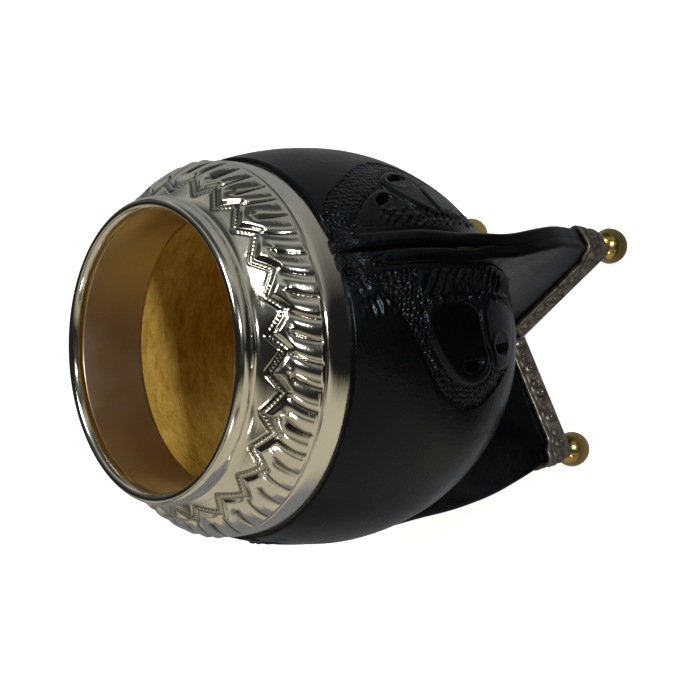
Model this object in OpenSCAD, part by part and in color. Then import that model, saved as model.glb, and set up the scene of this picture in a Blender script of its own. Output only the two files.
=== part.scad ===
/* [Body] */
// Largest outside radius of the leather body
body_r = 39.5; // [34:0.5:46]
// Half height of the body above its widest ring
body_h = 52; // [46:0.5:58]
// Half height of the body below its widest ring
body_low = 43.5; // [38:0.5:54]
// Height of the widest ring above the floor
body_z = 67.5; // [60:0.5:75]
// Leather thickness
skin_t = 1.3; // [0.8:0.1:2.5]
// Wall of the dried gourd
gourd_t = 4; // [3:0.5:7]

/* [Mouth metal] */
// Inside radius of the mouth sleeve
sleeve_r = 26.6; // [22:0.1:30]
// Length of the mouth sleeve
sleeve_l = 13; // [8:0.5:20]
// Outside radius of the rolled lip
lip_r = 29.5; // [25:0.1:33]
// Outside radius of the plain band
band_r = 36.4; // [33:0.1:40]
// Height of the collar's lower edge
band_z = 85; // [80:0.5:90]

/* [Fins and base] */
// Half thickness of a fin
fin_h = 2.7; // [2:0.1:4]
// Height of the star centre under the leather
star_z = 13.6; // [11:0.1:15]
// Sheet thickness of the metal trims
trim_t = 0.8; // [0.5:0.1:1.2]
// Height of a trim's side walls
trim_w = 5.5; // [3:0.1:6]
// Radius of a brass foot ball
ball_r = 3.7; // [2.5:0.1:5]

/* [Hidden] */
// Facets round a full circle
$fn = 96;
// Where the base star's centre lies in plan
star = [0.5, 1.8];
// Turn of each seam at the collar
root_a = [-91.5, 28.5, 148.5];
// Turn of each fin at its foot
foot_a = [-71.2, 39.6, 136.2];
// Length of each arm of the base star
reach = [28.1, 28.6, 32.1];
// Height of the lip ring's centre
lip_z = 103.5;
// Height of the collar's shoulder over the lip's underside
seat_z = lip_z - 1.3;
// Half thickness of the core inside a fin
core_h = fin_h - skin_t;
// How far a fin's edge falls below the row it starts from
fall = 5.7;
// Half width of the space inside a trim
w_in = fin_h + 0.06;
// Length of one arm of the star piece
hub_l = 7;
// Length of a toe cap behind the tip
cap_l = 4.5;
// Radius of a foot pin
pin_r = 0.8;
// Height of the upper end of a foot pin
pin_top = 14;
// Rows down one leather panel
rows = 22;
// Columns on the flat side of a fin
side_n = 4;
// Columns across the body part of a panel
arc_n = 12;
// All columns of a panel
cols = 2 * (4 + side_n) + arc_n - 1;
// Half turn of the egg's upper end at the collar
top_turn = asin((band_z - body_z) / body_h);
// Names of the parts
// Part to draw

function mix(a, b, t) = a + (b - a) * t;
function clamp(t) = min(1, max(0, t));
function ease(t) = let (c = clamp(t)) c * c * (3 - 2 * c);
function half_h(z) = z < body_z ? body_low : body_h;
// Radius of the leather egg at height z, less an inset
function egg(z, inset = 0) = let (q = (z - body_z) / (half_h(z) - inset))
    abs(q) >= 1 ? 0 : (body_r - inset) * sqrt(1 - q * q);
// How far down a fin a height lies: 0 at the collar, 1 at the trim
function down(z) = clamp((band_z - z) / (band_z - star_z));
// Line the fins stand on, from the egg's axis to the star's centre
function hub(z) = star * ease(down(z));
// Turn of a fin at height z
function turn(i, z) = mix(root_a[i], foot_a[i], ease((45 - z) / 31));
function dip(z) = fall * ease((46 - z) / (46 - star_z));
// Reach of a fin crest from the hub line at height z
function crest(i, z) = let (k = ease((60 - z) / 10), near = egg(z) + 0.5, share = lookup(z - dip(z),
    [[8, 0], [12.5, 0.1], [17, 0.3], [21.5, 0.47], [25.5, 0.63], [34, 0.84], [46, 1], [60, 1.15]]))
    max(near, mix(near, mix(reach[i], 38.2, share), k));
// Rows: even turns round the egg, then short steps to the trim
function row_z(j) = j > rows ? mix(body_z - body_low, star_z, (j - rows) / 4)
    : let (t = mix(-top_turn, 90, j / rows)) body_z - (t < 0 ? body_h : body_low) * sin(t);
// Distance from the hub line to the egg in one direction
function to_egg(z, a, inset) = let (p = hub(z), u = p[0] * cos(a) + p[1] * sin(a),
    r = egg(z, inset), q = u * u - p * p + r * r) q <= 0 ? 0 : max(0, sqrt(q) - u);
// Point on a fin: s out from the hub line, n to the side
function place(z, a, s, n, lim, base) = let (p = hub(z), f = clamp((s - base) / max(0.5, lim - base)))
    [p[0] + s * cos(a) - n * sin(a), p[1] + s * sin(a) + n * cos(a), z - dip(z) * f];
// One point of a panel skin: inset 0 is the outside, skin_t the inside
function skin(i, z, c, inset) = c > (cols - 1) / 2
    ? skin_half((i + 1) % 3, z, cols - 1 - c, inset, -1, i) : skin_half(i, z, c, inset, 1, i);
function skin_half(i, z, c, inset, side, own) = let (
    a = turn(i, z), lim = crest(i, z) - inset, h = fin_h - inset, base = to_egg(z, a, inset),
    foot = fin_foot(own, z, h, base, lim), top = max(lim - (inset > 0 ? 0.05 : 1.4), foot + 0.15))
    c < 4 ? place(z, a, inset > 0 ? max(lim, top + 0.04) - (c == 3 ? 0.02 : 0)
                        : max(lim + [0, 0, -0.45, -1.4][c], top + [0.3, 0.3, 0.2, 0][c]),
                  side * (inset > 0 ? [0.35, 0.7, 1.05, h][c] : [0.35, 1.2, 2.27, h][c]), lim + inset, base)
    : c < 4 + side_n ? place(z, a, mix(top, foot, (c - 3) / side_n), side * h, lim + inset, base)
    : arc_point(own, i, z, c - 3 - side_n, inset, side, h);
// Where a fin's flat side meets the egg
function fin_foot(own, z, h, base, lim) =
    max(base + min(1.2, max(0.05, (lim - base) / 3)), h / sin(turn_gap(own, z) / 2));
// Turn from one fin to the next
function turn_gap(own, z) = let (g = turn((own + 1) % 3, z) - turn(own, z)) (g % 360 + 360) % 360;
// Point on the body between two fins
function arc_point(own, i, z, k, inset, side, h) = let (
    gap = turn_gap(own, z), base0 = to_egg(z, turn(i, z), inset),
    a0 = atan2(h, fin_foot(own, z, h, base0, crest(i, z) - inset)),
    b = mix(a0, gap / 2, k / (arc_n / 2)), a = turn(i, z) + side * b,
    base = to_egg(z, a, inset), s = max(base, h / sin(min(b, 90)), 0.2),
    p = hub(z), lim = crest(i, z))
    [p[0] + s * cos(a), p[1] + s * sin(a),
     z - dip(z) * clamp((s - base) / max(0.5, lim - base)) * clamp(cos(b))];

// Triangles over a grid of points
function grid(m, n) = [for (j = [0 : m - 2]) for (c = [0 : n - 2])
    let (q = j * n + c) each [[q, q + 1, q + n + 1], [q, q + n + 1, q + n]]];
function flip(f) = [for (t = f) [t[2], t[1], t[0]]];
function shift(f, o) = [for (t = f) t + [o, o, o]];
function edge(a, b, o) = [[a, b, b + o], [a, b + o, a + o]];

// Leather between two fins, folded up over the near side of each
module leather_panel(i) {
    m = rows + 5;
    n = cols;
    out = [for (j = [0 : m - 1]) for (c = [0 : n - 1]) skin(i, row_z(j), c, 0)];
    inn = [for (j = [0 : m - 1]) for (c = [0 : n - 1]) skin(i, row_z(j), c, skin_t)];
    o = m * n;
    rim = [for (c = [0 : n - 2]) each edge(c + 1, c, o),
           for (c = [0 : n - 2]) each edge((m - 1) * n + c, (m - 1) * n + c + 1, o),
           for (j = [0 : m - 2]) each edge(j * n, (j + 1) * n, o),
           for (j = [0 : m - 2]) each edge((j + 2) * n - 1, (j + 1) * n - 1, o)];
    faces = concat(grid(m, n), shift(flip(grid(m, n)), o), rim);
    color([0.06, 0.06, 0.06]) polyhedron(points = concat(out, inn), faces = faces);
}

// Stiff core sewn inside a fin, with a socket for the foot pin
module fin_core(i) {
    h = core_h - 0.06;
    zs = [for (j = [0 : 11]) mix(56, star_z, j / 11)];
    pts = [for (z = zs) let (a = turn(i, z), base = max(2.4, to_egg(z, a, skin_t) + 0.2), lim = crest(i, z),
        b0 = to_egg(z, a, skin_t), o = max(base + 0.4, lim - skin_t - 0.15))
        each [place(z, a, base, h, lim, b0), place(z, a, o, h, lim, b0),
              place(z, a, o, -h, lim, b0), place(z, a, base, -h, lim, b0)]];
    last = 4 * (len(zs) - 1);
    walls = [for (j = [0 : len(zs) - 2]) for (k = [0 : 3])
        let (p = 4 * j + k, q = 4 * j + (k + 1) % 4) each [[p, q, q + 4], [p, q + 4, p + 4]]];
    ends = [[0, 2, 1], [0, 3, 2], [last, last + 1, last + 2], [last, last + 2, last + 3]];
    color([0.45, 0.3, 0.18]) difference() {
        polyhedron(points = pts, faces = flip(concat(walls, ends)));
        foot_at(i) translate([0, 0, 4]) cylinder(r = pin_r + 0.05, h = pin_top - 3.9);
    }
}

// A point of the egg's outline, from the bottom at 0 to the rim at 1
function arc_of(inset, rim, k) = let (t = mix(-90, asin((rim - body_z) / (body_h - inset)), k))
    [max(0, (body_r - inset) * cos(t)), body_z + ((t < 0 ? body_low : body_h) - inset) * sin(t)];

// Dried gourd: an open egg whose rim stands inside the collar
module gourd_shell() {
    gap = skin_t + 0.22;
    rim = 92;
    n = 30;
    outer = [for (j = [0 : n]) arc_of(gap, rim, j / n)];
    inner = [for (j = [n : -1 : 0]) arc_of(gap + gourd_t, rim, j / n)];
    color([0.62, 0.45, 0.2]) rotate_extrude() polygon(concat(outer, inner));
}

// Metal sleeve lining the mouth
module inner_sleeve() {
    color([0.72, 0.66, 0.55]) rotate_extrude()
        translate([sleeve_r, seat_z - sleeve_l]) square([0.8, sleeve_l]);
}

// Collar: plain band, swelling shoulder and narrow neck
module collar() {
    face = [[band_r, band_z + 0.05], [band_r + 0.1, 90.6], [band_r - 0.2, 90.9], [band_r - 0.1, 91.4],
            [35.9, 92.5], [35.15, 94.2], [34, 96], [32.5, 97.8], [30.8, 99.4], [29.6, 100.4],
            [29, 101], [28.8, 101.6], [28.8, seat_z]];
    n = len(face);
    back = [for (k = [n - 1 : -1 : 0]) let (p = face[max(0, k - 1)], q = face[min(n - 1, k + 1)],
        d = q - p) face[k] + 0.9 * [-d[1], d[0]] / norm(d)];
    fix = [for (k = [0 : n - 1]) k == 0 ? [back[0][0], seat_z] :
        k == n - 1 ? [back[n - 1][0], band_z + 0.05] : back[k]];
    color([0.8, 0.79, 0.75]) rotate_extrude() polygon(concat(face, fix));
}

// Rolled lip, flat underneath where it meets the collar and the sleeve
module lip_ring() {
    mid = (lip_r + sleeve_r + 0.3) / 2;
    half = (lip_r - sleeve_r - 0.3) / 2;
    cut = asin(-1.3 / 2);
    color([0.82, 0.81, 0.77]) rotate_extrude()
        polygon([for (k = [0 : 20]) let (t = mix(cut, 180 - cut, k / 20))
            [mid + half * cos(t), lip_z + 2 * sin(t)]]);
}

// Distance of a foot ball from the star's centre
function foot_s(i) = reach[i] - 1.2;
// Slope of a fin's lower edge
function slope(i) = atan(fall / crest(i, star_z));
// Frame of one foot on the floor
module foot_at(i) {
    translate([star[0], star[1], 0]) rotate([0, 0, foot_a[i]]) translate([foot_s(i), 0, 0]) children();
}
// Frame of one trim: x runs out along the fin, z = 0 is the leather's edge
module arm_at(i) {
    translate([star[0], star[1], star_z]) rotate([0, slope(i), foot_a[i]]) children();
}
// Outside of one gutter from x0 to x1
module gutter(x0, x1) {
    translate([x0, -w_in - trim_t, -trim_t]) cube([x1 - x0, 2 * (w_in + trim_t), trim_w]);
}
// Space inside a gutter
module inside(x0, x1) {
    translate([x0, -w_in, -0.02]) cube([x1 - x0, 2 * w_in, trim_w + 1]);
}

// Star where the three gutters meet
module star_hub() {
    color([0.5, 0.46, 0.4]) difference() {
        union() for (i = [0 : 2]) arm_at(i) gutter(0, hub_l);
        for (i = [0 : 2]) arm_at(i) inside(-0.5, hub_l + 1);
    }
}

// Gutter along the lower edge of a fin
module trim_channel(i) {
    color([0.5, 0.46, 0.4]) arm_at(i) difference() {
        gutter(hub_l + 0.05, reach[i] - cap_l);
        inside(hub_l - 1, reach[i]);
    }
}

// Shoe over the tip of a fin, its nose turned up over the crest
module toe_cap(i) {
    nose = reach[i] + 1.9;
    color([0.52, 0.48, 0.42]) difference() {
        arm_at(i) difference() {
            intersection() {
                translate([reach[i] - cap_l + 0.05, -w_in - trim_t, -trim_t])
                    cube([nose - reach[i] + cap_l - 0.05, 2 * (w_in + trim_t), trim_w + 1.6]);
                translate([nose - 9, 0, -3]) cylinder(r = 9, h = 12);
            }
            intersection() {
                translate([reach[i] - cap_l - 1, -w_in, -0.02])
                    cube([nose - reach[i] + cap_l + 0.2, 2 * w_in, 8]);
                translate([nose - 9, 0, -3]) cylinder(r = 9 - trim_t, h = 12);
            }
            translate([reach[i] - cap_l - 1, -8, trim_w - trim_t]) rotate([0, -30, 0]) cube([cap_l, 16, 8]);
        }
        foot_at(i) translate([0, 0, 3]) cylinder(r = pin_r + 0.05, h = 12);
    }
}

// Brass ball drilled for its pin
module foot_ball(i) {
    color([0.85, 0.65, 0.25]) foot_at(i) difference() {
        translate([0, 0, ball_r]) sphere(r = ball_r);
        translate([0, 0, ball_r]) cylinder(r = pin_r + 0.05, h = 2 * ball_r);
    }
}

// Pin that holds a ball to the fin
module ball_pin(i) {
    color([0.8, 0.62, 0.25]) foot_at(i)
        translate([0, 0, ball_r + 0.1]) cylinder(r = pin_r, h = pin_top - ball_r - 0.1);
}

gourd_shell();
inner_sleeve();
collar();
lip_ring();
star_hub();
leather_panel(0);  // leather_panel_1
leather_panel(1);  // leather_panel_2
leather_panel(2);  // leather_panel_3
fin_core(0);  // fin_core_1
fin_core(1);  // fin_core_2
fin_core(2);  // fin_core_3
trim_channel(0);  // trim_channel_1
trim_channel(1);  // trim_channel_2
trim_channel(2);  // trim_channel_3
toe_cap(0);  // toe_cap_1
toe_cap(1);  // toe_cap_2
toe_cap(2);  // toe_cap_3
foot_ball(0);  // foot_ball_1
foot_ball(1);  // foot_ball_2
foot_ball(2);  // foot_ball_3
ball_pin(0);  // ball_pin_1
ball_pin(1);  // ball_pin_2
ball_pin(2);  // ball_pin_3
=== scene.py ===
"""Mate gourd cup: leather, chiselled collar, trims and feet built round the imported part."""
import math

import bpy
import numpy as np
from mathutils import Matrix, Vector


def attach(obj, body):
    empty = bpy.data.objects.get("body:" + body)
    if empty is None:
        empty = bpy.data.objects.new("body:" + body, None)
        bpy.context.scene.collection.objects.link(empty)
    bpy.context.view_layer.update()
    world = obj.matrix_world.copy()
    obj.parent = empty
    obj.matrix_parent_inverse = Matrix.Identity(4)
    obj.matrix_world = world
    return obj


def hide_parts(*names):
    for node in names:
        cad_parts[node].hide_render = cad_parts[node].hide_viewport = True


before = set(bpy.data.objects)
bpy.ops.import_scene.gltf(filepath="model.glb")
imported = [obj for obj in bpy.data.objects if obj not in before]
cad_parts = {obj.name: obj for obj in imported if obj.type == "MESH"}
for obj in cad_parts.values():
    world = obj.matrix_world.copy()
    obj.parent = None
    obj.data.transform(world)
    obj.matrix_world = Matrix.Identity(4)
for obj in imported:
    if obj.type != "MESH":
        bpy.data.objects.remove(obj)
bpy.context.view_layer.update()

# ---------------------------------------------------------------- sizes, in mm and degrees
# body: widest radius, half heights above and below it, and its height above the floor
BODY_R, BODY_H, BODY_LOW, BODY_Z = 39.5, 52.0, 43.5, 67.5
# fins: half thickness, height of the star's centre, and how far a lower edge falls toward its foot
FIN_H, STAR_Z, FALL = 2.7, 13.6, 5.7
STAR = np.array([0.5, 1.8])
# each fin's turn at the collar and at its foot, the length of its arm of the star, and its crest's widest reach
ROOT_A, FOOT_A, REACH, CREST_R = [-91.5, 28.5, 148.5], [-71.2, 39.6, 136.2], [28.1, 28.6, 32.1], 38.2
# mouth: lower edge of the band, centre of the lip, radii of lip and sleeve, and the sleeve's thickness
BAND_Z, LIP_Z, LIP_R, SLEEVE_R, SLEEVE_T = 85.0, 103.5, 29.5, 26.6, 0.8
SEAT_Z, SLEEVE_L = LIP_Z - 1.3, 13.0
BALL_R = 3.7
# trims: half width inside, sheet thickness, height of the side walls, lengths of the hub's arms and the caps
W_IN, TRIM_T, WALL, HUB_L, CAP_L = FIN_H + 0.06, 0.8, 4.7, 7.0, 4.5


# ---------------------------------------------------------------- small tools
def clamp(t):
    """Held between 0 and 1."""
    return np.clip(t, 0.0, 1.0)


def ease(t):
    """Smooth ramp from 0 to 1."""
    c = clamp(t)
    return c * c * (3 - 2 * c)


def step(a, b, x):
    """0 at a and 1 at b, smooth between them."""
    return ease((x - a) / (b - a))


def bell(x, w):
    """1 at x = 0, falling away over a width w."""
    return np.exp(-((x / w) ** 2))


LATTICE = np.random.default_rng(7).random((256, 256))


def noise(x, y, size):
    """Smooth value noise from -1 to 1, with bumps about size across."""
    x, y = np.asarray(x) / size + 31.7, np.asarray(y) / size + 57.3
    xi, yi = np.floor(x).astype(int), np.floor(y).astype(int)
    u, v = ease(x - xi), ease(y - yi)
    pick = lambda a, b: LATTICE[a % 256, b % 256]
    low = pick(xi, yi) * (1 - u) + pick(xi + 1, yi) * u
    high = pick(xi, yi + 1) * (1 - u) + pick(xi + 1, yi + 1) * u
    return (low * (1 - v) + high * v) * 2 - 1


def rounded(points, times=3, closed=True):
    """Corner cutting, so a few hand-set points give a smooth outline."""
    p = np.array(points, float)
    for _ in range(times):
        q = np.roll(p, -1, 0) if closed else p[1:]
        a = p if closed else p[:-1]
        p = np.stack([a * 0.75 + q * 0.25, a * 0.25 + q * 0.75], 1).reshape(-1, 2)
    return p


def outline(points, x, y):
    """Signed distance to a closed outline, negative inside."""
    best, inside = np.full(x.shape, 1e9), np.zeros(x.shape, bool)
    for a, b in zip(points, np.roll(points, -1, 0)):
        e = b - a
        t = clamp(((x - a[0]) * e[0] + (y - a[1]) * e[1]) / max(1e-9, e @ e))
        best = np.minimum(best, np.hypot(x - a[0] - t * e[0], y - a[1] - t * e[1]))
        cross = (a[1] > y) != (b[1] > y)
        inside ^= cross & (x < a[0] + (y - a[1]) * e[0] / (e[1] if abs(e[1]) > 1e-9 else 1e-9))
    return np.where(inside, -best, best)


def mesh(name, points, faces, **marks):
    """Mesh object from points in mm and four-cornered faces; marks become point attributes."""
    points, faces = np.asarray(points, np.float32) * 0.001, np.asarray(faces, np.int32)
    m = bpy.data.meshes.new(name)
    m.vertices.add(len(points))
    m.vertices.foreach_set("co", points.ravel())
    m.loops.add(faces.size)
    m.loops.foreach_set("vertex_index", faces.ravel())
    m.polygons.add(len(faces))
    m.polygons.foreach_set("loop_start", np.arange(0, faces.size, 4, dtype=np.int32))
    m.polygons.foreach_set("use_smooth", np.ones(len(faces), bool))
    m.update(calc_edges=True)
    for key, value in marks.items():
        layer = m.attributes.new(key, "FLOAT", "POINT")
        layer.data.foreach_set("value", np.asarray(value, np.float32).ravel())
    ob = bpy.data.objects.new(name, m)
    bpy.context.scene.collection.objects.link(ob)
    return ob


def quads(rows, cols, wrap=False, flip=False):
    """Faces of a grid of points; wrap closes it round its columns."""
    j, c = np.meshgrid(np.arange(rows - 1), np.arange(cols if wrap else cols - 1), indexing="ij")
    d = (c + 1) % cols
    f = np.stack([j * cols + c, j * cols + d, (j + 1) * cols + d, (j + 1) * cols + c], -1).reshape(-1, 4)
    return f[:, ::-1] if flip else f


def normals(p, wrap=False):
    """Unit normals of a grid of points, rows by columns."""
    du = np.roll(p, -1, 1) - np.roll(p, 1, 1) if wrap else np.gradient(p, axis=1)
    n = np.cross(du, np.gradient(p, axis=0))
    return n / np.maximum(1e-9, np.linalg.norm(n, axis=2, keepdims=True))


def spun(r, z, count):
    """Grid of points: a profile of radii and heights turned round the axis."""
    t, r = np.arange(count) * 2 * math.pi / count, np.asarray(r, float)[:, None]
    return np.stack([r * np.cos(t), r * np.sin(t), np.repeat(np.asarray(z, float)[:, None], count, 1)], -1)


def lathe(name, profile, count=256):
    """Surface of revolution; profile runs from bottom to top seen from outside."""
    p = spun(*np.array(profile, float).T, count)
    return mesh(name, p.reshape(-1, 3), quads(len(profile), count, wrap=True))


# ---------------------------------------------------------------- materials
def material(name, **base):
    m = bpy.data.materials.new(name)
    m.use_nodes = True
    tree = m.node_tree
    shader = tree.nodes["Principled BSDF"]
    for key, value in base.items():
        shader.inputs[key.replace("_", " ")].default_value = value
    return m, tree, shader


def coords(tree, scale=(1, 1, 1)):
    tex = tree.nodes.new("ShaderNodeTexCoord")
    mapping = tree.nodes.new("ShaderNodeMapping")
    mapping.inputs["Scale"].default_value = scale
    tree.links.new(tex.outputs["Object"], mapping.inputs["Vector"])
    return mapping.outputs["Vector"]


def grain(tree, vector, scale, detail=4, roughness=0.6):
    n = tree.nodes.new("ShaderNodeTexNoise")
    n.inputs["Scale"].default_value = scale
    n.inputs["Detail"].default_value = detail
    n.inputs["Roughness"].default_value = roughness
    tree.links.new(vector, n.inputs["Vector"])
    return n.outputs["Fac"]


def ramp(tree, value, stops):
    r = tree.nodes.new("ShaderNodeValToRGB")
    while len(r.color_ramp.elements) < len(stops):
        r.color_ramp.elements.new(0.5)
    for e, (at, colour) in zip(r.color_ramp.elements, stops):
        e.position = at
        e.color = (*colour, 1) if len(colour) == 3 else colour
    tree.links.new(value, r.inputs["Fac"])
    return r.outputs["Color"]


def spread(tree, value, low, high):
    r = tree.nodes.new("ShaderNodeMapRange")
    r.inputs["From Min"].default_value, r.inputs["From Max"].default_value = 0.3, 0.7
    r.inputs["To Min"].default_value, r.inputs["To Max"].default_value = low, high
    tree.links.new(value, r.inputs["Value"])
    return r.outputs["Result"]


def bump(tree, shader, value, depth, strength=1.0, under=None):
    b = tree.nodes.new("ShaderNodeBump")
    b.inputs["Distance"].default_value = depth
    b.inputs["Strength"].default_value = strength
    tree.links.new(value, b.inputs["Height"])
    if under is not None:
        tree.links.new(under, b.inputs["Normal"])
    tree.links.new(b.outputs["Normal"], shader.inputs["Normal"])
    return b.outputs["Normal"]


def blend_colour(tree, factor, a, b):
    m = tree.nodes.new("ShaderNodeMix")
    m.data_type = "RGBA"
    tree.links.new(factor, m.inputs["Factor"])
    for source, socket in ((a, m.inputs[6]), (b, m.inputs[7])):
        if isinstance(source, tuple):
            socket.default_value = (*source, 1)
        else:
            tree.links.new(source, socket)
    return m.outputs[2]


def mark(tree, name):
    a = tree.nodes.new("ShaderNodeAttribute")
    a.attribute_name = name
    return a.outputs["Fac"]


def cells(tree, vector, scale, uneven=1.0):
    c = tree.nodes.new("ShaderNodeTexVoronoi")
    c.inputs["Scale"].default_value = scale
    c.inputs["Randomness"].default_value = uneven
    tree.links.new(vector, c.inputs["Vector"])
    return c.outputs["Distance"]


def times(tree, a, b):
    m = tree.nodes.new("ShaderNodeMath")
    m.operation = "MULTIPLY"
    tree.links.new(a, m.inputs[0])
    tree.links.new(b, m.inputs[1])
    return m.outputs[0]


def leather():
    m, t, s = material("leather", Specular_Tint=(0.64, 0.81, 1.0, 1), Specular_IOR_Level=0.27)
    v = coords(t)
    tone = ramp(t, grain(t, v, 60), [(0.3, (0.0008, 0.0008, 0.0011)), (0.7, (0.0022, 0.0022, 0.0028))])
    t.links.new(tone, s.inputs["Base Color"])
    t.links.new(spread(t, grain(t, v, 140, 3), 0.22, 0.33), s.inputs["Roughness"])
    first = bump(t, s, cells(t, v, 1500), 0.00006, 0.3)
    laid = t.nodes.new("ShaderNodeCombineXYZ")
    t.links.new(mark(t, "along"), laid.inputs[0])
    t.links.new(mark(t, "across"), laid.inputs[1])
    dots = times(t, cells(t, laid.outputs[0], 0.95, 0.5), mark(t, "dots"))
    second = bump(t, s, dots, 0.0007, 0.9, first)
    folds = times(t, grain(t, coords(t, (520, 520, 260)), 1.0, 4, 0.7), mark(t, "folds"))
    third = bump(t, s, folds, 0.0022, 1.0, second)
    bump(t, s, grain(t, v, 500, 5, 0.65), 0.0002, 0.35, third)
    shut = t.nodes.new("ShaderNodeMapRange")
    shut.inputs["To Min"].default_value, shut.inputs["To Max"].default_value = 0.27, 0.0
    t.links.new(mark(t, "hole"), shut.inputs["Value"])
    t.links.new(shut.outputs["Result"], s.inputs["Specular IOR Level"])
    return m


def white_metal(name, colour, low, high, brushed, pits=False):
    m, t, s = material(name, Metallic=1.0)
    v = coords(t)
    tone = ramp(t, grain(t, v, 90), [(0.3, tuple(c * 0.9 for c in colour)), (0.7, colour)])
    rough = spread(t, grain(t, v, 200, 3), low, high)
    if pits:
        tone = blend_colour(t, mark(t, "pit"), tone, (0.06, 0.05, 0.035))
    t.links.new(tone, s.inputs["Base Color"])
    t.links.new(rough, s.inputs["Roughness"])
    bump(t, s, grain(t, coords(t, (110, 110, 4200)), 1.0, 2), 0.00004, brushed)
    return m


def dark_metal():
    m, t, s = material("dark_metal", Metallic=0.85)
    v = coords(t)
    tone = ramp(t, grain(t, v, 420, 6, 0.7), [(0.30, (0.07, 0.057, 0.047)), (0.5, (0.25, 0.218, 0.187)),
                                              (0.72, (0.50, 0.45, 0.39))])
    # dark patina in the chiselled lines, and painted shade on the rims' top rows
    tone = blend_colour(t, mark(t, "pit"), tone, (0.05, 0.04, 0.03))
    t.links.new(tone, s.inputs["Base Color"])
    t.links.new(spread(t, grain(t, v, 300, 4), 0.30, 0.5), s.inputs["Roughness"])
    bump(t, s, grain(t, v, 900, 4), 0.00012, 0.5)
    return m


def brass():
    m, t, s = material("brass", Metallic=1.0)
    v = coords(t)
    tone = ramp(t, grain(t, v, 160), [(0.3, (0.34, 0.24, 0.07)), (0.7, (0.62, 0.46, 0.17))])
    t.links.new(tone, s.inputs["Base Color"])
    t.links.new(spread(t, grain(t, v, 350, 3), 0.14, 0.26), s.inputs["Roughness"])
    bump(t, s, grain(t, v, 700, 3), 0.00005, 0.3)
    return m


def gourd():
    m, t, s = material("gourd")
    v = coords(t)
    tone = ramp(t, grain(t, coords(t, (0.4, 0.4, 1)), 460, 6, 0.7), [
        (0.28, (0.44, 0.235, 0.02)), (0.5, (0.72, 0.46, 0.075)), (0.74, (0.90, 0.68, 0.21))])
    fibre = ramp(t, grain(t, coords(t, (1, 1, 2.4)), 900, 5, 0.75), [
        (0.36, (0.30, 0.30, 0.30)), (0.47, (0, 0, 0))])
    tone = blend_colour(t, fibre, tone, (0.12, 0.06, 0.008))
    # painted shade: the gourd's outside is mixed to near black, standing in for the shade inside the slits
    tone = blend_colour(t, mark(t, "glued"), tone, (0.008, 0.006, 0.005))
    t.links.new(tone, s.inputs["Base Color"])
    t.links.new(spread(t, grain(t, v, 260, 3), 0.65, 0.9), s.inputs["Roughness"])
    bump(t, s, grain(t, v, 620, 6, 0.75), 0.0007, 0.8)
    return m


def board():
    m, t, s = material("board")
    v = coords(t, (1, 1, 5))
    t.links.new(ramp(t, grain(t, v, 200), [(0.3, (0.006, 0.005, 0.004)), (0.7, (0.014, 0.011, 0.008))]),
                s.inputs["Base Color"])
    t.links.new(spread(t, grain(t, v, 300), 0.6, 0.8), s.inputs["Roughness"])
    return m


LEATHER, DARK, BRASS, GOURD, BOARD = leather(), dark_metal(), brass(), gourd(), board()
POLISHED = white_metal("white_metal", (0.82, 0.80, 0.72), 0.06, 0.15, 0.55, pits=True)
SLEEVE = white_metal("sleeve_metal", (0.74, 0.66, 0.53), 0.30, 0.36, 0.12)


def give(ob, mat, slot, *nodes):
    ob.data.materials.clear()
    ob.data.materials.append(mat)
    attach(ob, "root")
    if nodes:
        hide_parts(*nodes)
    return ob


# ---------------------------------------------------------------- the body's shape
def egg(z):
    """Radius of the body at a height."""
    q = (z - BODY_Z) / (BODY_LOW if z < BODY_Z else BODY_H)
    return BODY_R * np.sqrt(np.maximum(0, 1 - q * q))


def hub(z):
    """Where the fins' planes meet at a height; it leans from the collar's axis to the star's centre."""
    return STAR * ease((BAND_Z - z) / (BAND_Z - STAR_Z))


def twist(z):
    """Share of its turn that a fin has made at a height: 0 at the collar and 1 at the foot."""
    return ease((45 - z) / 31)


def turn(i, z):
    """Direction of fin i at a height, in degrees."""
    return ROOT_A[i] + (FOOT_A[i] - ROOT_A[i]) * twist(z)


def dip(z):
    """How far a row drops by the time it reaches a fin's crest."""
    return FALL * ease((46 - z) / (46 - STAR_Z))


def crest(i, z):
    """Distance of fin i's crest from the hub at a height."""
    out, near = ease((60 - z) / 10), egg(z) + 0.5
    heights, shares = [8, 12.5, 17, 21.5, 25.5, 34, 46, 60], [0, 0.1, 0.3, 0.47, 0.63, 0.84, 1, 1.15]
    share = sum(np.interp(z - dip(z) + d, heights, shares) for d in (-2.4, -1.2, 0, 1.2, 2.4)) / 5
    return max(near, near + (REACH[i] + (CREST_R - REACH[i]) * share - near) * out)


def to_egg(z, a):
    """Distance from the hub to the body in direction a."""
    p, r = hub(z), egg(z)
    u = p[0] * np.cos(a) + p[1] * np.sin(a)
    return np.maximum(0, np.sqrt(np.maximum(0, u * u - p @ p + r * r)) - u)


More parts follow.
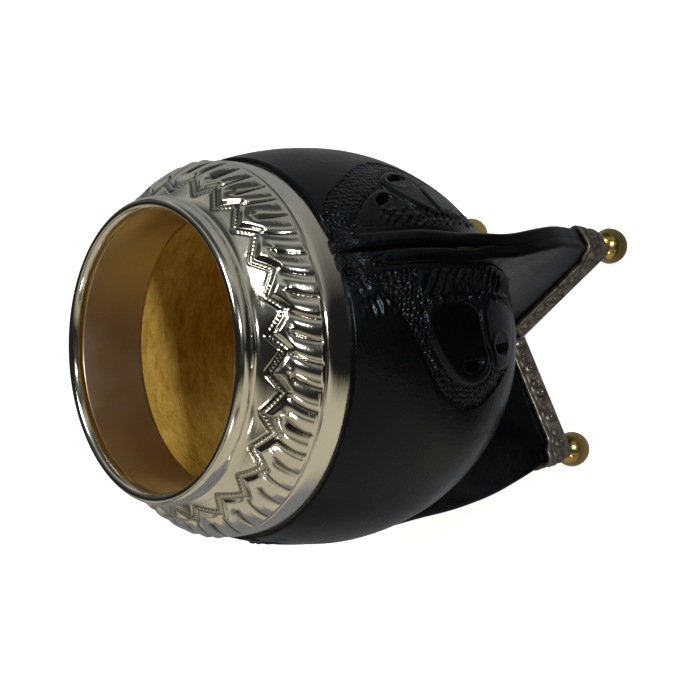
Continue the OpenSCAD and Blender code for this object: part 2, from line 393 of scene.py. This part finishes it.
def half_row(own, i, z, side, spots):
    """One row of panel own, from the slit in fin i's crest to the panel's middle line.

    Gives the points and how far each lies from the crest, measured round the hub.
    """
    gap = math.radians((turn((own + 1) % 3, z) - turn(own, z)) % 360)
    a, p = math.radians(turn(i, z)), hub(z)
    base = float(to_egg(z, a))

    # near the collar the fin sinks into the body and its slit opens; below, one side laps over the other
    flush, open_here = ease((z - 44) / 14), ease((z - 45) / 9)
    lim = crest(i, z) - (0.45 if i == 0 else 0.2) * flush - (0.05 * (1 - open_here) if side < 0 else 0)
    w = FIN_H + 0.8 * flush
    slit = 0.45 * open_here * ease((84 - z) / 5) - (0.3 * (1 - open_here) if side > 0 else 0)
    fil = min(1.3, max(-0.45, (lim - base - 1.3) * 0.5))
    foot = max(base + fil, w / math.sin(gap / 2))

    # the fin: in through the slit, over two rounded edges and down the flat side
    arc = np.linspace(0, math.pi / 2, 7)
    r1 = 0.03 + (min(0.9, (w - slit) * 0.4) - 0.03) * open_here
    r2 = min(0.8 + 0.8 * flush, (w - slit) * 0.55)
    top = [(lim - 1.6, 0.0), (lim - 0.9, slit)]
    top += [(lim - r1 + r1 * math.sin(t), slit + r1 - r1 * math.cos(t)) for t in arc]
    drop = min(r2, max(0.35, lim - foot))
    top += [(lim - drop + drop * math.cos(t), w - r2 + r2 * math.sin(t)) for t in arc]
    if lim - drop > foot:
        top += [(lim - drop + (foot - lim + drop) * k, w) for k in np.linspace(0.1, 0.9, 9)]
    s, n = np.array(top).T
    root = sum(float(to_egg(z + d, a)) for d in (-3, -1.5, 0, 1.5, 3)) / 5
    f = clamp((s - root) / max(0.5, lim - root))
    across = np.arctan2(np.abs(n), s) * s
    n = n * side
    flank = np.stack([p[0] + s * math.cos(a) - n * math.sin(a), p[1] + s * math.sin(a) + n * math.cos(a),
                      z - dip(z) * f], 1)

    # the body: out of the fillet at the fin's foot and round to the middle line
    b = math.atan2(w, foot) + (gap / 2 - math.atan2(w, foot)) * np.linspace(0, 1, 90) ** 1.5
    d = a + side * b
    reach = to_egg(z, d)
    clear = w / np.sin(np.minimum(b, math.pi / 2))
    s = np.maximum(reach, clear)
    s = s + np.where(reach > clear, fil * np.exp(-np.maximum(0, reach * np.sin(b) - w) / 1.1), 0) * (base > 4)
    drop = dip(z) * clamp((s - reach) / np.maximum(0.5, lim - reach)) * clamp(np.cos(b)) * (s > reach + 0.01)
    field = np.stack([p[0] + s * np.cos(d), p[1] + s * np.sin(d), z - drop], 1)

    line, lateral = np.concatenate([flank, field]), np.concatenate([across, b * s])
    along = np.concatenate([[0], np.cumsum(np.linalg.norm(np.diff(line, axis=0), axis=1))])
    at = along[-1] * (0.55 * spots + 0.45 * spots**2)
    points = np.stack([np.interp(at, along, line[:, k]) for k in range(3)], 1)
    return points, np.interp(at, along, lateral)


# ---------------------------------------------------------------- tooling in the leather
# Outlines beside a crest, as height and distance from the crest: LOW on one side of a fin, HIGH on the other.
LOW_FIELD = rounded([(84, 5), (79, 7.5), (75.3, 12.8), (71.9, 19.5), (68.6, 25.3), (66, 29.2), (55.4, 34),
                     (44.2, 26.6), (39, 19.5), (36, 12), (38, 6), (50, 4.6), (70, 5)], 1)
LOW_PETALS = [
    rounded([(69.4, 11.5), (68.9, 16.7), (67, 20.8), (63, 26), (58, 28.2), (52.4, 27.8), (49.6, 24.6),
             (53.6, 19), (54.6, 11.5)]),
    rounded([(53.6, 11.5), (52.6, 19), (50.8, 24), (47.2, 26), (42.4, 25), (39.8, 19.8), (40, 11)])]
HIGH_FIELD = rounded([(86, 5), (83, 12.2), (75.2, 18), (66.2, 24.5), (60, 25), (51, 19), (43, 13), (40, 8),
                      (48, 5), (70, 4.6)], 1)
HIGH_PETALS = [
    rounded([(81, 5), (77, 8), (73.6, 11.8), (68, 15.2), (65.3, 12.6), (63, 8.6), (62.5, 5)]),
    rounded([(65.2, 12), (67.6, 16.2), (64.6, 19.8), (59.6, 21.8), (57.6, 18), (56.8, 12), (56, 6)]),
    rounded([(56.4, 8), (57, 14.5), (53.6, 17.5), (49.6, 14.6), (48.4, 9), (48.4, 5)])]


def half_moon(z, l, at, wide, tall, lean=0.0):
    """A punched half moon, flat on the side toward the crest."""
    c, s = math.cos(lean), math.sin(lean)
    u, v = (z - at[0]) * c + (l - at[1]) * s, -(z - at[0]) * s + (l - at[1]) * c
    ring = np.sqrt((u / wide) ** 2 + (v / tall) ** 2)
    return step(1.12, 0.88, ring) * step(-0.15, 0.15, v)


def tool(z, l, side, free):
    """Depth of the tooling in mm, where the fine stipple goes and where the holes are, beside one crest."""
    h = np.zeros_like(z)
    # the pattern leans down the body, and the fins' own twist is taken out of it
    l = l - side * 6.4 * (ease((66 - z) / 48) - twist(z))
    if side < 0:
        field, petals = outline(LOW_FIELD, z, l), LOW_PETALS
        moons = [((56.8, 23.4), 3.0, 2.2, 0.05), ((46.4, 20.6), 2.7, 1.9, 0.08)]
    else:
        field, petals = outline(HIGH_FIELD, z, l), HIGH_PETALS
        moons = [((69.6, 10.6), 2.4, 1.8, -0.45), ((62.1, 17.3), 2.7, 1.7, -0.2)]
    # the sunk ground round the petals
    inside = step(0.4, -0.4, field)
    shapes = [outline(p, z, l) for p in petals]
    near = np.minimum.reduce(shapes)
    ground = inside * step(0.1, 0.7, near)
    start = 10.6 if side < 0 else 6.4
    open_ground = ground * step(start - 0.5, start + 0.5, l + 40 * step(69.5, 71.5, z))
    h -= open_ground * (0.20 + 0.08 * noise(z, l, 2.2))
    # a groove round each petal and a slightly domed face
    for d in shapes:
        keep = inside * step(start - 2, start + 1, l)
        h -= 0.34 * bell(d - 0.35, 0.40) * keep - 0.08 * bell(d + 0.9, 0.5) * keep
        h += 0.10 * step(0.0, -1.6, d) * step(-5.5, -1.2, d) * keep
    hole = np.zeros_like(z)
    for at, wide, tall, lean in moons:
        moon = half_moon(z, l, at, wide, tall, lean)
        hole = np.maximum(hole, moon)
        h -= 1.1 * moon
        h += 0.12 * bell(np.hypot((z - at[0]) / wide, (l - at[1]) / tall) - 1.35, 0.25)
    if side < 0:
        # a row of beads under the crest, then slanting folds, strokes by the collar and a rough patch
        for k in range(8):
            h += 0.55 * bell(np.hypot(z - 47.6 - 2.85 * k, l - 11.2 - 0.25 * math.sin(k * 2.1)), 0.62)
        lane = step(4.8, 5.6, l) * step(10.6, 9.6, l) * step(39, 41, z) * step(72, 69, z)
        wave = np.sin((z - 0.75 * l + 0.5 * noise(z, l, 3)) * 2 * math.pi / 2.62)
        h += lane * (0.32 * wave * (0.7 + 0.5 * noise(z, l, 2)) + 0.15 * noise(z, l, 0.9))
        lane = step(5.2, 6.4, l) * step(14, 12, l) * step(72.5, 74.5, z) * step(84, 82.5, z)
        wave = np.sin((z + 0.3 * l + 0.7 * noise(z, l, 2.4)) * 2 * math.pi / 1.55)
        h += lane * (0.26 * wave * (0.5 + 0.8 * noise(z, l, 1.8)) + 0.16 * noise(z, l * 0.5, 0.8))
        patch = step(74.6, 75.6, z) * step(80.6, 79.6, z) * step(1.0, 1.4, l) * step(3.9, 3.4, l)
        h += patch * (0.18 + 0.28 * noise(z, l * 2.2, 0.7))
    else:
        # slanting folds beside the crest
        lane = step(4.6, 5.2, l) * step(9.2, 8.2, l) * step(40, 42, z) * step(74, 70, z)
        wave = np.sin((z + 0.9 * l + 0.6 * noise(z, l, 3)) * 2 * math.pi / 2.4)
        h += lane * (0.30 * wave * (0.7 + 0.5 * noise(z, l, 2)) + 0.18 * noise(z, l, 0.8))
    # gathers where the leather is pulled under the collar
    h += 0.16 * noise(z + 0.6 * l, l * 0.35, 1.1) * step(72, 82, z) * step(11, 6, l)
    pull = 0.22 * noise(z * 0.5 + l * 0.9, l * 1.1 - 0.4 * z, 1.3)
    return h * free + pull * step(76, 82, z) * step(14, 7, l), open_ground * free, hole * free


def panel(i):
    """Panel i, from the slit in fin i's crest round to the slit in the next one."""
    fine, j = 150, (i + 1) % 3
    count = 2 * fine - 1
    top_turn = math.asin((BAND_Z - BODY_Z) / BODY_H)
    bend = np.concatenate([np.linspace(-top_turn, 0.80, 236), np.linspace(0.80, math.pi / 2, 60)[1:]])
    zs = BODY_Z - np.where(bend < 0, BODY_H, BODY_LOW) * np.sin(bend)
    zs = np.concatenate([zs, np.linspace(BODY_Z - BODY_LOW, STAR_Z, 30)[1:]])
    spots = np.linspace(0, 1, fine)
    rows, dist = [], []
    for height in zs:
        a, near = half_row(i, i, height, 1, spots)
        b, far = half_row(i, j, height, -1, spots)
        rows.append(np.concatenate([a, b[::-1][1:]]))
        dist.append(np.concatenate([near, -far[::-1][1:]]))
    p, dist = np.array(rows), np.array(dist)
    z, l = np.repeat(zs[:, None], count, 1), np.abs(dist)

    # under the body the two halves run into one smooth valley
    across = np.abs(np.linspace(-1, 1, count))
    soft = (step(0.62, 0.45, across) * step(46, 38, z))[:, 1:-1, None]
    for _ in range(30):
        p[:, 1:-1] += 0.5 * soft * ((p[:, :-2] + p[:, 2:]) / 2 - p[:, 1:-1])
    valley = step(0.30, 0.05, across) * step(42, 34, z)

    free = step(38, 46, z) * (1 - step(60, 54, z) * step(4.6, 3.0, l))
    up, down = tool(z, l, 1, free * (i > 0)), tool(z, l, -1, free)
    h, dots, hole = (np.where(dist >= 0, a, b) for a, b in zip(up, down))
    hole = np.maximum(hole, valley)
    folds = step(79.5, 84, z) * step(9, 4, l) * step(0.3, 1.0, l)
    h += 0.06 * noise(z * 0.4, dist, 1.6) * step(6, 3, l) * step(0.8, 1.6, l) * step(40, 50, z)
    h += 0.05 * noise(z, dist, 9)
    h *= step(0.2, 1.2, l) * step(BAND_Z + 0.01, BAND_Z - 0.8, z)
    p = p - normals(p) * h[..., None]

    # a plain hem tucked in under the collar
    hem = p[:1] * np.array([0.957, 0.957, 1])
    p = np.concatenate([hem, p])
    plain, same = {"dots": dots, "folds": folds}, {"hole": hole, "along": z + 0.25 * dist, "across": dist}
    marks = {key: np.concatenate([value[:1] * 0, value]) for key, value in plain.items()}
    marks |= {key: np.concatenate([value[:1], value]) for key, value in same.items()}
    ob = mesh(f"leather_panel_{i + 1}", p.reshape(-1, 3), quads(*p.shape[:2]), **marks)
    return give(ob, LEATHER, "leather", f"leather_panel_{i + 1}")


for k in range(3):
    panel(k)


# ---------------------------------------------------------------- chiselled collar
REPEATS, PITCH, COLLAR_COUNT = 26, 8.6, 1040
# the collar's outline from its lower edge up to the lip, as radius and height
FACE = np.array([(36.4, 85.05), (36.45, 87.8), (36.5, 90.5), (36.25, 90.75), (36.15, 90.95), (36.4, 91.25),
                 (36.2, 91.9), (35.85, 92.7), (35.3, 93.9), (34.3, 95.6), (33.1, 97.1), (31.9, 98.4),
                 (30.7, 99.5), (29.7, 100.35), (29.1, 101.0), (28.85, 101.6), (28.8, 102.3)])


def zigzag(x, y):
    """Signed distance to the zigzag line and distance run along it."""
    best, run = np.full(x.shape, 1e9), np.zeros(x.shape)
    low, high, turn_x = 2.5, 5.7, 0.60 * PITCH
    first = math.hypot(turn_x, high - low)
    legs = (((0, high), (turn_x, low), 0), ((turn_x, low), (PITCH, high), first))
    for s in (-1, 0, 1):
        for (x0, y0), (x1, y1), before in legs:
            ex, ey = x1 - x0, y1 - y0
            t = clamp(((x - s * PITCH - x0) * ex + (y - y0) * ey) / (ex * ex + ey * ey))
            d = np.hypot(x - s * PITCH - x0 - t * ex, y - y0 - t * ey)
            run = np.where(d < best, before + t * math.hypot(ex, ey), run)
            best = np.minimum(best, d)
    q = np.mod(x, PITCH)
    down, up = q / turn_x, (q - turn_x) / (PITCH - turn_x)
    line = np.where(q < turn_x, high + (low - high) * down, low + (high - low) * up)
    return np.where(y < line, -best, best), run


def chisel(turns, y, long):
    """Relief and patina of the shoulder; y is the distance in mm from the neck, long is its full length."""
    lap = turns * 2 * math.pi
    phase = turns * REPEATS + 0.035 * np.sin(lap * 3) + 0.03 * np.sin(lap * 7 + 1)
    x = np.mod(phase, 1.0) * PITCH
    y = y + 0.2 * np.sin(lap * 5) + 0.14 * np.sin(lap * 11 + 2)
    d, run = zigzag(x, y)

    # leaf strokes: one lobe per tooth of the zigzag, curving over and splitting in two toward the band
    v = y / long
    t = clamp((v - 0.38) / 0.62)
    u = np.mod(phase - 0.36 * (1 - (1 - t) ** 1.8), 1.0)
    w = np.mod(u + 0.05 * np.sin(2 * math.pi * u), 1.0)
    on, split = step(0.1, 1.2, d) * step(1.0, 0.95, v), step(0.40, 0.56, v)
    one, two = np.sin(math.pi * u) ** 0.7, np.abs(np.sin(2 * math.pi * w)) ** 0.65
    seam = bell(np.minimum(u, 1 - u) * PITCH, 0.30) * on
    tail = bell((w - 0.5) * PITCH, 0.18 + 0.42 * step(0.95, 0.5, v)) * step(0.46, 0.56, v) * on
    bulb = bell(np.hypot((u - 0.42) * PITCH, (v - 0.5) * long), 0.7)
    h = on * (0.64 * (one * (1 - split) + 0.85 * two * split) - 0.15 - 0.10 * tail + 0.22 * bulb)

    # a beaded lane between two cut lines
    lines = bell(d, 0.15) + bell(d + 1.3, 0.15)
    bead = np.hypot(np.mod(run, 0.85) - 0.42, d + 0.65)
    lane = step(-1.4, -1.2, d) * step(-0.05, -0.25, d)
    h += lane * (-0.06 + 0.13 * bell(bead, 0.25)) - 0.14 * lines
    pit = clamp(0.85 * lines + 0.95 * seam + lane * 0.6 * bell(bead - 0.36, 0.15) + 0.85 * tail)
    return h, pit


def collar():
    """The collar's chiselled face, closed by its plain inside."""
    length = np.concatenate([[0], np.cumsum(np.hypot(*np.diff(FACE, axis=0).T))])
    a, b = length[5], length[14]
    at = np.concatenate([np.linspace(0, length[2], 6), np.linspace(length[2], a, 7)[1:],
                         np.linspace(a, b, 71)[1:], np.linspace(b, length[-1], 6)[1:]])
    soft = np.concatenate([FACE[:1], rounded(FACE, 2, closed=False), FACE[-1:]])
    run = np.concatenate([[0], np.cumsum(np.hypot(*np.diff(soft, axis=0).T))])
    run *= length[-1] / run[-1]
    p = spun(np.interp(at, run, soft[:, 0]), np.interp(at, run, soft[:, 1]), COLLAR_COUNT)
    y = np.repeat((b - at)[:, None], COLLAR_COUNT, 1)
    turns = np.repeat((1 - np.arange(COLLAR_COUNT) / COLLAR_COUNT)[None], len(at), 0)
    h, pit = chisel(turns % 1.0, y, b - a)
    on = step(-0.1, 0.5, y) * step(b - a + 0.05, b - a - 0.35, y)
    groove = bell(at - length[4], 0.22)[:, None]
    pit = clamp(pit * on + 0.5 * groove)
    p = p + normals(p, wrap=True) * (h * on)[..., None]
    back = np.array([(27.9, SEAT_Z + 0.1), (27.9, 101.3), (29.5, 99.4), (32.3, 96.6), (34.4, 93.4),
                     (35.3, 91), (35.4, BAND_Z + 0.05)])
    everything = np.concatenate([p, spun(back[:, 0], back[:, 1], COLLAR_COUNT), p[:1]])
    pit = np.concatenate([pit, np.zeros((len(back) + 1, COLLAR_COUNT))])
    ob = mesh("collar", everything.reshape(-1, 3), quads(len(everything), COLLAR_COUNT, wrap=True), pit=pit)
    return give(ob, POLISHED, "white_metal", "collar")


def lip():
    """The rolled lip: an arch over the collar's shoulder and the sleeve's end."""
    cut = math.asin((SEAT_Z - LIP_Z) / 2)
    mid, half = (LIP_R + SLEEVE_R + 0.3) / 2, (LIP_R - SLEEVE_R - 0.3) / 2
    arch = [(mid + half * math.cos(t), LIP_Z + 2 * math.sin(t)) for t in np.linspace(cut, math.pi - cut, 40)]
    arch = [(mid, SEAT_Z)] + arch + [(mid, SEAT_Z)]
    return give(lathe("lip_ring", arch, 320), POLISHED, "white_metal", "lip_ring")


def sleeve():
    """The mouth's lining, flared a little where it goes under the lip."""
    low, flare = SEAT_Z - SLEEVE_L, 0.36
    wall = [(SLEEVE_R + SLEEVE_T, low), (SLEEVE_R + SLEEVE_T, SEAT_Z), (SLEEVE_R + 0.45, LIP_Z - 0.1)]
    wall += [(SLEEVE_R + flare * (1 - k / 12) ** 2, LIP_Z - 0.1 - 0.6 * k) for k in range(13)]
    wall += [(SLEEVE_R, z) for z in np.linspace(LIP_Z - 8, low + 0.2, 10)]
    wall += [(SLEEVE_R + 0.2, low), (SLEEVE_R + SLEEVE_T, low)]
    return give(lathe("inner_sleeve", wall), SLEEVE, "sleeve_metal", "inner_sleeve")


collar()
lip()
sleeve()


# ---------------------------------------------------------------- inside of the gourd
def gourd_body():
    """The gourd's wall: a plain outside painted near black as the shade seen through the slits, and a fibrous
    inside.
    """
    gap, inset, rim, count, outside = 1.52, 5.52, 92.0, 300, 60

    def side(g, steps):
        t = np.linspace(-math.pi / 2 + 0.01, math.asin((rim - BODY_Z) / (BODY_H - g)), steps)
        tall = np.where(t < 0, BODY_LOW, BODY_H) - g
        return np.stack([(BODY_R - g) * np.cos(t), BODY_Z + tall * np.sin(t)], 1)

    line = np.concatenate([side(gap, outside), side(inset, 180)[::-1]])
    row = np.arange(len(line))[:, None]
    p = spun(line[:, 0], line[:, 1], count)
    x = np.repeat(np.arange(count)[None] * 2 * math.pi / count * 30, len(line), 0)
    y = np.repeat(line[:, 1:], count, 1)
    h = 0.12 * noise(x, y * 0.4, 1.6) + 0.06 * noise(x, y * 0.5, 0.8) + 0.4 * noise(x, y, 14)
    h *= (row > outside + 1) * step(count + 1, count - 12, np.arange(count))[None]
    p = p + normals(p, wrap=True) * h[..., None]
    # the outside rows, which get the painted shade
    glued = np.repeat(row < outside, count, 1)
    ob = mesh("gourd", p.reshape(-1, 3), quads(len(line), count, wrap=True), glued=glued)
    return give(ob, GOURD, "gourd", "gourd_shell")


gourd_body()


# ---------------------------------------------------------------- metal trims on the base
def arm(i):
    """Places points of one arm, given with x out along the fin and z up from the leather's edge."""
    slope = math.atan(FALL / crest(i, STAR_Z))
    m = Matrix.Rotation(math.radians(FOOT_A[i]), 3, "Z") @ Matrix.Rotation(slope, 3, "Y")
    return lambda q: q @ np.array(m).T + np.array([*STAR, STAR_Z])


def scroll(x, y):
    """Chiselled scrolls on a side wall; x along it, y from 0 at the foot to 1 at the rim."""
    long = 5.6
    v = (y - 0.42) * 5.0
    k = np.floor(x / long)
    u = x - long * (k + 0.5)
    ring = np.hypot(u - 0.9, (v - 0.2 * np.sin(k * 2.4)) * 0.9)
    stem = v - 1.15 * np.sin(x / long * 2 * math.pi)
    leaf = np.hypot(u + 1.2, v - 0.5)
    line = bell(ring - 1.05, 0.26) + bell(stem, 0.26) * (ring > 1.25) + bell(ring, 0.34)
    line = clamp(line + bell(leaf - 0.8, 0.22)) * (0.7 + 0.4 * noise(x, v, 1.7))
    rails = bell(v - 2.0, 0.2) + bell(v + 1.75, 0.2)
    rough = 0.10 * noise(x, v, 1.1) + 0.06 * noise(x, v, 0.5)
    h = 0.24 * bell(ring - 0.55, 0.35) - 0.36 * clamp(line + rails) + rough
    return h, clamp(0.8 * line + 0.6 * rails)


def gutter(i, x0, x1, side, nose=None):
    """Outside of a gutter on one side of an arm: rim, wall and floor, and round the tip if nose is given."""
    w_out = W_IN + TRIM_T
    xs = np.arange(x0, x1, 0.14)
    path = np.stack([xs, np.full(len(xs), w_out)], 1)
    along = xs - x0
    lift = np.zeros(len(xs))
    if nose:
        tau = np.linspace(0, math.pi / 2, 34)
        bend = np.stack([x1 + (nose - x1) * np.sin(tau) ** 0.8, w_out * np.cos(tau) ** 0.55], 1)
        path = np.concatenate([path, bend])
        along = np.concatenate([[0], np.cumsum(np.hypot(*np.diff(path, axis=0).T))])
        lift = 1.6 * ease((along - 1.0) / 3.0)
    d = np.gradient(path, axis=0)
    out = np.stack([-d[:, 1], d[:, 0]], 1)
    out /= np.maximum(1e-9, np.linalg.norm(out, axis=1, keepdims=True))
    tops, bottom = WALL + lift - 0.1, -TRIM_T
    rows, pits = [], []

    def row(points, z, pit):
        rows.append(np.column_stack([points, np.broadcast_to(z, len(path))]))
        pits.append(np.broadcast_to(pit, len(path)))

    # the rim's two top rows carry a painted shade of 0.5 that dims their highlight; the wall below carries the
    # patina of the chisel lines
    rim = ((TRIM_T, tops - 1.2, 0), (TRIM_T, tops - 0.1, 0), (0.62, tops, 0.5), (0.15, tops, 0.5))
    for inward, z, pit in rim:
        row(path - out * inward, z, pit)
    for y in np.linspace(1, 0, 22):
        h, pit = scroll(along + x0, np.full(len(along), y))
        edge = step(0.0, 0.12, y) * step(1.0, 0.93, y)
        shape = path + out * (h * edge)[:, None] - out * 0.25 * (1 - step(0.0, 0.10, y))
        row(shape, bottom + 0.05 + (tops - bottom - 0.1) * y, pit * edge)
    for share in (0.9, 0.45, 0.0):
        under = np.minimum(path[:, 0], x1)
        row(np.column_stack([under + (path[:, 0] - under) * share, path[:, 1] * share]), bottom, 0)
    p, pit = np.array(rows), np.array(pits)
    p[..., 1] *= side
    return arm(i)(p.reshape(-1, 3)), quads(*p.shape[:2], flip=side < 0), pit.ravel()


def trims(name, parts):
    """One trim piece from its gutters."""
    points, faces, pits = zip(*parts)
    starts = np.concatenate([[0], np.cumsum([len(p) for p in points])])
    faces = [f + start for f, start in zip(faces, starts)]
    ob = mesh(name, np.concatenate(points), np.concatenate(faces), pit=np.concatenate(pits))
    return give(ob, DARK, "dark_metal", name)


def hub_start(k, side):
    """Where a hub arm's side wall leaves its neighbour's."""
    between = FOOT_A[(k + side) % 3] - FOOT_A[k]
    gap = math.radians(abs((between + 180) % 360 - 180))
    return (W_IN + TRIM_T) / math.tan(gap / 2)


SIDES = (1, -1)
trims("star_hub", [gutter(k, hub_start(k, side), HUB_L + 0.15, side) for k in range(3) for side in SIDES])
for k in range(3):
    cap = REACH[k] - CAP_L
    trims(f"trim_channel_{k + 1}", [gutter(k, HUB_L + 0.03, cap + 0.1, side) for side in SIDES])
    trims(f"toe_cap_{k + 1}", [gutter(k, cap + 0.02, REACH[k] - 0.6, side, REACH[k] + 1.9) for side in SIDES])


# ---------------------------------------------------------------- balls, pins and cores
def ball(i):
    """Foot ball i, slightly uneven, resting on the floor."""
    a, s = math.radians(FOOT_A[i]), REACH[i] - 1.2
    t, f = np.linspace(-math.pi / 2 + 0.03, math.pi / 2 - 0.25, 40), np.arange(72) * 2 * math.pi / 72
    r = BALL_R * (1 + 0.006 * noise(t[:, None] * 5 + i * 9, np.cos(f)[None] * 5, 1))
    p = np.stack([r * np.cos(t)[:, None] * np.cos(f), r * np.cos(t)[:, None] * np.sin(f),
                  r * np.sin(t)[:, None]], -1)
    p += np.array([STAR[0] + s * math.cos(a), STAR[1] + s * math.sin(a), BALL_R])
    ob = mesh(f"foot_ball_{i + 1}", p.reshape(-1, 3), quads(40, 72, wrap=True))
    return give(ob, BRASS, "brass", f"foot_ball_{i + 1}")


def paint(prefix, mat):
    """Gives a material to the CAD nodes that keep their own mesh."""
    for name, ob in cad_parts.items():
        if name.startswith(prefix):
            ob.data.materials.clear()
            ob.data.materials.append(mat)


for k in range(3):
    ball(k)
paint("ball_pin", BRASS)
paint("fin_core", BOARD)

# ---------------------------------------------------------------- floor, lights, camera
def parts_of(tree, vector):
    """X and Y of a vector, as two sockets."""
    split = tree.nodes.new("ShaderNodeSeparateXYZ")
    tree.links.new(vector, split.inputs[0])
    return split.outputs["X"], split.outputs["Y"]


def between(tree, value, low, high):
    """0 at low and 1 at high."""
    r = tree.nodes.new("ShaderNodeMapRange")
    r.inputs["From Min"].default_value, r.inputs["From Max"].default_value = low, high
    tree.links.new(value, r.inputs["Value"])
    return r.outputs["Result"]


def glow(tree, strength=1.0, colour=None):
    g = tree.nodes.new("ShaderNodeEmission")
    g.inputs["Strength"].default_value = strength
    if colour is not None:
        tree.links.new(colour, g.inputs["Color"])
    return g.outputs[0]


def floor_material():
    """A pale floor for the camera; reflections see studio cards with a dark band before the mouth."""
    m, t, s = material("floor")
    v = coords(t)
    t.links.new(ramp(t, grain(t, v, 3), [(0.3, (0.90, 0.90, 0.90)), (0.7, (0.93, 0.93, 0.93))]),
                s.inputs["Base Color"])
    t.links.new(spread(t, grain(t, v, 8), 0.7, 0.8), s.inputs["Roughness"])
    x, y = parts_of(t, v)
    place = between(t, y, -0.5, 0.5)
    facing = ramp(t, place, [(0.43, (0.54, 0.49, 0.38)), (0.462, (0.012, 0.011, 0.010)),
                             (0.56, (0.014, 0.014, 0.014)), (0.66, (0.34, 0.33, 0.30))])
    further = ramp(t, place, [(0.42, (0.20, 0.205, 0.215)), (0.475, (0.32, 0.33, 0.34)),
                              (0.60, (0.28, 0.28, 0.28))])
    dim = glow(t, 1.0, blend_colour(t, between(t, x, 0.05, 0.0), facing, further))
    both, choose = t.nodes.new("ShaderNodeAddShader"), t.nodes.new("ShaderNodeMixShader")
    t.links.new(s.outputs[0], both.inputs[0])
    t.links.new(glow(t, 0.86), both.inputs[1])
    t.links.new(t.nodes.new("ShaderNodeLightPath").outputs["Is Camera Ray"], choose.inputs[0])
    t.links.new(dim, choose.inputs[1])
    t.links.new(both.outputs[0], choose.inputs[2])
    end = next(n for n in t.nodes if n.type == "OUTPUT_MATERIAL")
    t.links.new(choose.outputs[0], end.inputs["Surface"])
    return m


def floor():
    bpy.ops.mesh.primitive_plane_add(size=6)
    ob = bpy.context.object
    ob.name = "floor"
    ob.data.materials.append(floor_material())


def light(name, power, at, size, tall, colour=(1, 1, 1), toward=(0, 0, 0.06)):
    data = bpy.data.lights.new(name, "AREA")
    data.energy, data.color, data.shape = power, colour, "RECTANGLE"
    data.size, data.size_y = size, tall
    ob = bpy.data.objects.new(name, data)
    bpy.context.scene.collection.objects.link(ob)
    ob.location = at
    ob.rotation_mode = "QUATERNION"
    ob.rotation_quaternion = (Vector(toward) - Vector(at)).to_track_quat("-Z", "Y")
    return ob


def sky():
    """Studio surroundings: bands of light and dark from one side to the other."""
    world = bpy.data.worlds.new("world")
    bpy.context.scene.world = world
    world.use_nodes = True
    tree = world.node_tree
    _, y = parts_of(tree, tree.nodes.new("ShaderNodeTexCoord").outputs["Generated"])
    bands = [(0.10, (0.50, 0.45, 0.35)), (0.17, (0.06, 0.055, 0.045)), (0.23, (0.50, 0.45, 0.34)),
             (0.36, (0.020, 0.018, 0.016)), (0.60, (0.016, 0.016, 0.016)), (0.72, (0.10, 0.10, 0.095)),
             (0.78, (0.03, 0.03, 0.03)), (0.88, (0.42, 0.42, 0.38)), (0.95, (0.06, 0.06, 0.06))]
    tree.links.new(ramp(tree, between(tree, y, -1, 1), bands), tree.nodes["Background"].inputs["Color"])


def camera():
    """A long lens looking down at the mouth, rolled so that the cup lies on its side."""
    eye = (0.3794, 0.0072, 0.3605)
    back = np.array([0.7803, 0.017, 0.6252])
    up = np.cross(back, [0.6254, -0.021, -0.78])
    right = np.cross(up, back)
    axes = np.array([v / np.linalg.norm(v) for v in (right, up, back)])
    ob = bpy.data.objects.new("camera", bpy.data.cameras.new("camera"))
    bpy.context.scene.collection.objects.link(ob)
    bpy.context.scene.camera = ob
    ob.matrix_world = Matrix.Translation(eye) @ Matrix(axes.T.tolist()).to_4x4()
    ob.data.sensor_width, ob.data.lens = 36.0, 123.43
    ob.data.clip_start, ob.data.clip_end = 0.01, 20


floor()
light("key", 3.6, (0.25, 0.55, 0.95), 0.34, 0.34, (1.0, 0.99, 0.88))
light("mouth", 5.2, (0.86, 0.24, 0.50), 0.06, 0.08, (1.0, 0.98, 0.92))
light("low", 0.5, (0.45, -0.70, 0.60), 0.12, 0.12, (1.0, 0.98, 0.90))
sky()
camera()
bpy.context.scene.view_settings.view_transform = "Standard"
